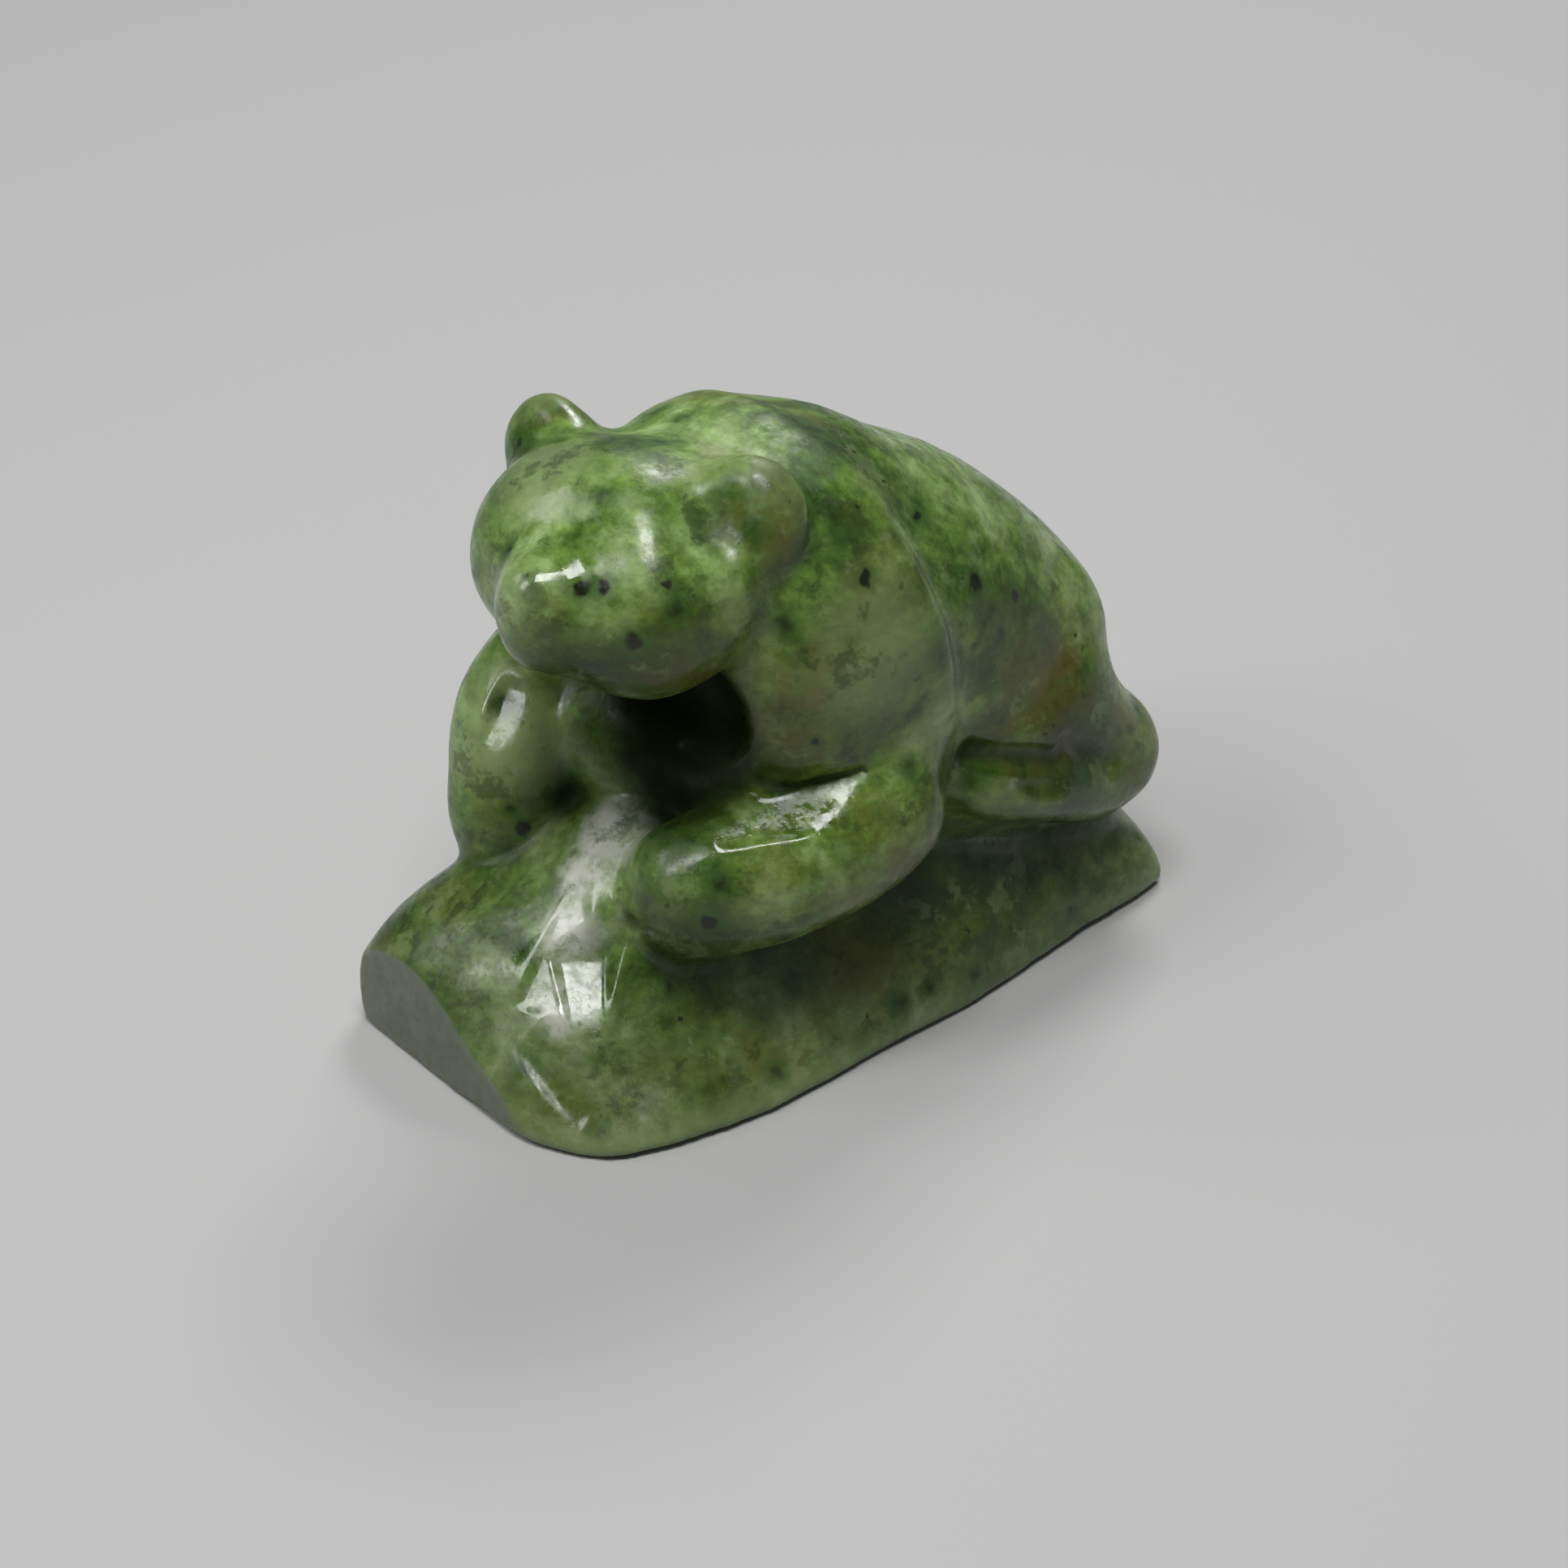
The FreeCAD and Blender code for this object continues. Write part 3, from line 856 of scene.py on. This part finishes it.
def jade(specks):
    """Polished green nephrite with olive stains and dark specks, painted shade in its creases and
    under the chin, painted cream highlights down the ridge, a painted glow on thin edges and a painted
    grey reflection on the sawn flat.
    """
    material = bpy.data.materials.new("polished_jade")
    material.use_nodes = True
    tree = material.node_tree
    shader = tree.nodes["Principled BSDF"]
    shader.inputs["IOR"].default_value = JADE_INDEX
    metres = add_node(tree, "ShaderNodeTexCoord", {}).outputs["Object"]
    inputs = {"Vector": metres, "Scale": (TO_MM, TO_MM, TO_MM)}
    place = add_node(tree, "ShaderNodeMapping", inputs).outputs[0]
    bulk = add_node(tree, "ShaderNodeAttribute", {}, attribute_name="bulk").outputs["Fac"]
    sawn = add_node(tree, "ShaderNodeAttribute", {}, attribute_name="sawn").outputs["Fac"]
    ragged = warped(tree, place, 1.1, 1.3)

    color = jade_clouds(tree, place, ragged)
    color = with_specks(tree, color, ragged, specks)
    # Painted shade: the creases, where most of the neighbourhood is stone, darkened to near black.
    recess = ranged(tree, bulk, 0.53, 0.71)
    color = tinted(tree, calc(tree, "MULTIPLY", recess, 0.85), color, CREASE_SHADE)
    # Painted shade: the hollow under the chin darkened to near black.
    throat_shade = ball_share(tree, ragged, spot(*THROAT_SHADE), 5.0, 10.4)
    color = tinted(tree, calc(tree, "MULTIPLY", throat_shade, 0.94), color, SPECK_AND_THROAT_SHADE)
    # Painted glow of light through the thin edges, where most of the neighbourhood is air.
    edge_glow = ranged(tree, bulk, 0.44, 0.20, 0.0, 0.45)
    color = tinted(tree, edge_glow, color, PALE)
    # Painted highlight: cream down the ridge.
    color = with_ridge_highlight(tree, color, place, ragged)
    # Painted reflection: the sawn flat greyed as if it reflected the grey room.
    color = tinted(tree, calc(tree, "MULTIPLY", sawn, 0.82), color, SAWN_REFLECTION_GREY)
    tree.links.new(color, shader.inputs["Base Color"])

    rough = polish_roughness(tree, place, recess, sawn)
    tree.links.new(rough, shader.inputs["Roughness"])
    sheen = ranged(tree, calc(tree, "MAXIMUM", recess, throat_shade), 0.0, 1.0, 0.36, 0.05)
    tree.links.new(sheen, shader.inputs["Specular IOR Level"])
    tree.links.new(fine_relief(tree, place), shader.inputs["Normal"])
    return material


# ---- camera, floor and light ----------------------------------------------------------------------
# The camera turns about the frame's origin: its angles in degrees, and its distance and shift in mm.
VIEW_TURN = 47.3
VIEW_LIFT = 31.0
VIEW_DISTANCE = 300.0
VIEW_RIGHT = 1.32
VIEW_UP = 12.0
LENS = 95.03
SENSOR = 36.0

FLOOR_HALF = 3.0
FLOOR_GREY = (0.44, 0.44, 0.436)
SKY = (0.95, 0.97, 1.0, 1)
SKY_STRENGTH = 0.10


def view_axes():
    """Unit directions: towards the camera, to its right, and up in its view."""
    turn, lift = math.radians(VIEW_TURN), math.radians(VIEW_LIFT)
    level = math.cos(lift)
    toward = Vector((math.sin(turn) * level, -math.cos(turn) * level, math.sin(lift)))
    right = Vector((math.cos(turn), math.sin(turn), 0))
    return toward, right, toward.cross(right)


def set_camera():
    """The camera, a little above the bear and ahead of its left side."""
    toward, right, up = view_axes()
    camera = bpy.data.objects.new("camera", bpy.data.cameras.new("camera"))
    camera.data.lens = LENS
    camera.data.sensor_width = SENSOR
    camera.data.clip_start = 0.01
    camera.data.clip_end = 20
    place = Matrix((right, up, toward)).transposed().to_4x4()
    place.translation = (toward * VIEW_DISTANCE + right * VIEW_RIGHT + up * VIEW_UP) * MM
    camera.matrix_world = place
    bpy.context.collection.objects.link(camera)
    bpy.context.scene.camera = camera


def plain_material(name, color, roughness):
    """A plain, even finish."""
    material = bpy.data.materials.new(name)
    material.use_nodes = True
    shader = material.node_tree.nodes["Principled BSDF"]
    shader.inputs["Base Color"].default_value = (*color, 1)
    shader.inputs["Roughness"].default_value = roughness
    return material


def lay_floor():
    """A plain pale floor under the stone."""
    turns = ((-1, -1), (1, -1), (1, 1), (-1, 1))
    mesh = bpy.data.meshes.new("floor")
    corners = [(x * FLOOR_HALF, y * FLOOR_HALF, 0) for x, y in turns]
    mesh.from_pydata(corners, [], [(0, 1, 2, 3)])
    mesh.materials.append(plain_material("pale_floor", FLOOR_GREY, 0.9))
    floor = bpy.data.objects.new("floor", mesh)
    bpy.context.collection.objects.link(floor)


def add_softbox(name, direction, distance, width, height, power):
    """A soft rectangular light that faces the stone. Sizes in metres, power in watts."""
    light = bpy.data.lights.new(name, "AREA")
    light.shape = "RECTANGLE"
    light.size = width
    light.size_y = height
    light.energy = power
    lamp = bpy.data.objects.new(name, light)
    direction = Vector(direction).normalized()
    target = (CAD_BOX[0] + CAD_BOX[1]) / 2
    lamp.location = target + direction * distance
    lamp.rotation_euler = direction.to_track_quat("Z", "Y").to_euler()
    bpy.context.collection.objects.link(lamp)


def light_scene():
    """Windows over, behind and ahead of the bear, and weak lights on its right and left."""
    toward, right, up = view_axes()
    add_softbox("window_light", (0.20, -0.22, 0.95), 0.5, 0.22, 0.16, 1.7)
    add_softbox("right_window", (-0.58, -0.49, 0.64), 0.6, 0.22, 0.16, 0.35)
    add_softbox("back_window", (-0.35, 0.55, 0.75), 0.5, 0.18, 0.12, 1.1)
    add_softbox("front_light", (-0.15, -0.70, 0.71), 0.6, 0.15, 0.22, 0.8)
    add_softbox("side_light", right * 0.9 + up * 0.25 + toward * 0.35, 0.8, 0.5, 0.5, 0.08)
    world = bpy.data.worlds.new("studio")
    world.use_nodes = True
    background = world.node_tree.nodes["Background"]
    background.inputs["Color"].default_value = SKY
    background.inputs["Strength"].default_value = SKY_STRENGTH
    bpy.context.scene.world = world
    bpy.context.scene.view_settings.view_transform = "Standard"


def main():
    """Carves the stone, parts it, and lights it."""
    stone, distances = build_stone()
    part_stone(stone, distances)
    set_camera()
    lay_floor()
    light_scene()


main()
